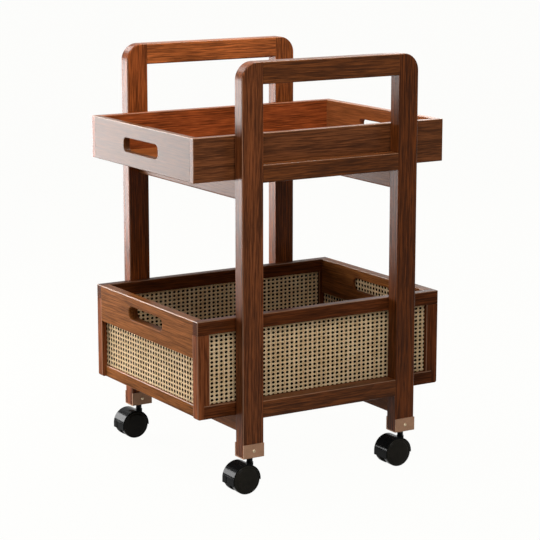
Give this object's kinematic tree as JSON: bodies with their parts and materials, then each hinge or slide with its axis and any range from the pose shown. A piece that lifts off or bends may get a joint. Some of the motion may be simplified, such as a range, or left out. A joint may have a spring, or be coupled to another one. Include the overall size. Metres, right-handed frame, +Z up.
{
  "type": "rolling storage cart",
  "caption": "Wooden rolling cart with two hoop frames, a lift-off tray, a sliding basket with cane panels, and twin-wheel swivel casters.",
  "frame": {"origin": "on the floor, under the middle of the cart", "axes": "+X along the handles, towards the cart's right end; +Y from the front frame to the rear one; +Z up"},
  "size_m": [0.5, 0.439, 0.724],
  "materials": {
    "walnut": "satin lacquer",
    "floor_board": "satin lacquer",
    "cane": "natural cane weave",
    "bracket_plate": "bronze coating",
    "screw_steel": "plated",
    "stem_steel": "black oxide",
    "axle_steel": "plain",
    "wheel_black": "smooth black",
    "hood_black": "gloss black",
    "lever_black": "satin black"
  },
  "bodies": {
    "cart_frame": {"leg_front_left": "walnut", "leg_front_right": "walnut", "leg_rear_left": "walnut", "leg_rear_right": "walnut", "handle_front": "walnut", "handle_rear": "walnut", "mid_rail_front": "walnut", "mid_rail_rear": "walnut", "low_rail_front": "walnut", "low_rail_rear": "walnut", "cross_rail_upper_left": "walnut", "cross_rail_upper_right": "walnut", "cross_rail_lower_left": "walnut", "cross_rail_lower_right": "walnut", "caster_brackets": "bracket_plate", "bracket_screws": "screw_steel", "caster_stems": "stem_steel"},
    "tray": {"tray_wall_front": "walnut", "tray_wall_rear": "walnut", "tray_end_left": "walnut", "tray_end_right": "walnut", "tray_floor": "floor_board"},
    "basket": {"basket_top_rail_front": "walnut", "basket_top_rail_rear": "walnut", "basket_bottom_rail_front": "walnut", "basket_bottom_rail_rear": "walnut", "basket_stile_front_left": "walnut", "basket_stile_front_right": "walnut", "basket_stile_rear_left": "walnut", "basket_stile_rear_right": "walnut", "basket_end_board_left": "walnut", "basket_end_board_right": "walnut", "basket_end_rail_left": "walnut", "basket_end_rail_right": "walnut", "basket_cane_left": "cane", "basket_cane_right": "cane", "basket_cane_front": "cane", "basket_cane_rear": "cane", "basket_floor": "floor_board"},
    "caster_front_left": {"caster_front_left_hood": "hood_black", "caster_front_left_axle": "axle_steel", "caster_front_left_lever_pin": "axle_steel"},
    "wheel_front_left_outer": {"caster_front_left_wheel_outer": "wheel_black"},
    "wheel_front_left_inner": {"caster_front_left_wheel_inner": "wheel_black"},
    "brake_front_left": {"caster_front_left_brake_lever": "lever_black"},
    "caster_front_right": {"caster_front_right_hood": "hood_black", "caster_front_right_axle": "axle_steel"},
    "wheel_front_right_outer": {"caster_front_right_wheel_outer": "wheel_black"},
    "wheel_front_right_inner": {"caster_front_right_wheel_inner": "wheel_black"},
    "caster_rear_left": {"caster_rear_left_hood": "hood_black", "caster_rear_left_axle": "axle_steel", "caster_rear_left_lever_pin": "axle_steel"},
    "wheel_rear_left_outer": {"caster_rear_left_wheel_outer": "wheel_black"},
    "wheel_rear_left_inner": {"caster_rear_left_wheel_inner": "wheel_black"},
    "brake_rear_left": {"caster_rear_left_brake_lever": "lever_black"},
    "caster_rear_right": {"caster_rear_right_hood": "hood_black", "caster_rear_right_axle": "axle_steel"},
    "wheel_rear_right_outer": {"caster_rear_right_wheel_outer": "wheel_black"},
    "wheel_rear_right_inner": {"caster_rear_right_wheel_inner": "wheel_black"}
  },
  "joints": [
    {"name": "tray_lift", "type": "slide", "parent": "cart_frame", "child": "tray", "axis": [0, 0, 1], "range_m": [0, 0.2]},
    {"name": "basket_slide", "type": "slide", "parent": "cart_frame", "child": "basket", "axis": [1, 0, 0], "range_m": [-0.09, 0.09]},
    {"name": "swivel_front_left", "type": "hinge", "parent": "cart_frame", "child": "caster_front_left", "pos_m": [-0.155, -0.1995, 0.05], "axis": [0, 0, 1], "continuous": true},
    {"name": "wheel_spin_front_left_outer", "type": "hinge", "parent": "caster_front_left", "child": "wheel_front_left_outer", "pos_m": [-0.171, -0.1995, 0.025], "axis": [0, 1, 0], "continuous": true},
    {"name": "wheel_spin_front_left_inner", "type": "hinge", "parent": "caster_front_left", "child": "wheel_front_left_inner", "pos_m": [-0.171, -0.1995, 0.025], "axis": [0, 1, 0], "continuous": true},
    {"name": "brake_press_front_left", "type": "hinge", "parent": "caster_front_left", "child": "brake_front_left", "pos_m": [-0.1903, -0.1995, 0.027], "axis": [0, -1, 0], "range_deg": [0, 12]},
    {"name": "swivel_front_right", "type": "hinge", "parent": "cart_frame", "child": "caster_front_right", "pos_m": [0.155, -0.1995, 0.05], "axis": [0, 0, 1], "continuous": true},
    {"name": "wheel_spin_front_right_outer", "type": "hinge", "parent": "caster_front_right", "child": "wheel_front_right_outer", "pos_m": [0.139, -0.1995, 0.025], "axis": [0, 1, 0], "continuous": true},
    {"name": "wheel_spin_front_right_inner", "type": "hinge", "parent": "caster_front_right", "child": "wheel_front_right_inner", "pos_m": [0.139, -0.1995, 0.025], "axis": [0, 1, 0], "continuous": true},
    {"name": "swivel_rear_left", "type": "hinge", "parent": "cart_frame", "child": "caster_rear_left", "pos_m": [-0.155, 0.1995, 0.05], "axis": [0, 0, 1], "continuous": true},
    {"name": "wheel_spin_rear_left_outer", "type": "hinge", "parent": "caster_rear_left", "child": "wheel_rear_left_outer", "pos_m": [-0.171, 0.1995, 0.025], "axis": [0, 1, 0], "continuous": true},
    {"name": "wheel_spin_rear_left_inner", "type": "hinge", "parent": "caster_rear_left", "child": "wheel_rear_left_inner", "pos_m": [-0.171, 0.1995, 0.025], "axis": [0, 1, 0], "continuous": true},
    {"name": "brake_press_rear_left", "type": "hinge", "parent": "caster_rear_left", "child": "brake_rear_left", "pos_m": [-0.1903, 0.1995, 0.027], "axis": [0, -1, 0], "range_deg": [0, 12]},
    {"name": "swivel_rear_right", "type": "hinge", "parent": "cart_frame", "child": "caster_rear_right", "pos_m": [0.155, 0.1995, 0.05], "axis": [0, 0, 1], "continuous": true},
    {"name": "wheel_spin_rear_right_outer", "type": "hinge", "parent": "caster_rear_right", "child": "wheel_rear_right_outer", "pos_m": [0.139, 0.1995, 0.025], "axis": [0, 1, 0], "continuous": true},
    {"name": "wheel_spin_rear_right_inner", "type": "hinge", "parent": "caster_rear_right", "child": "wheel_rear_right_inner", "pos_m": [0.139, 0.1995, 0.025], "axis": [0, 1, 0], "continuous": true}
  ]
}
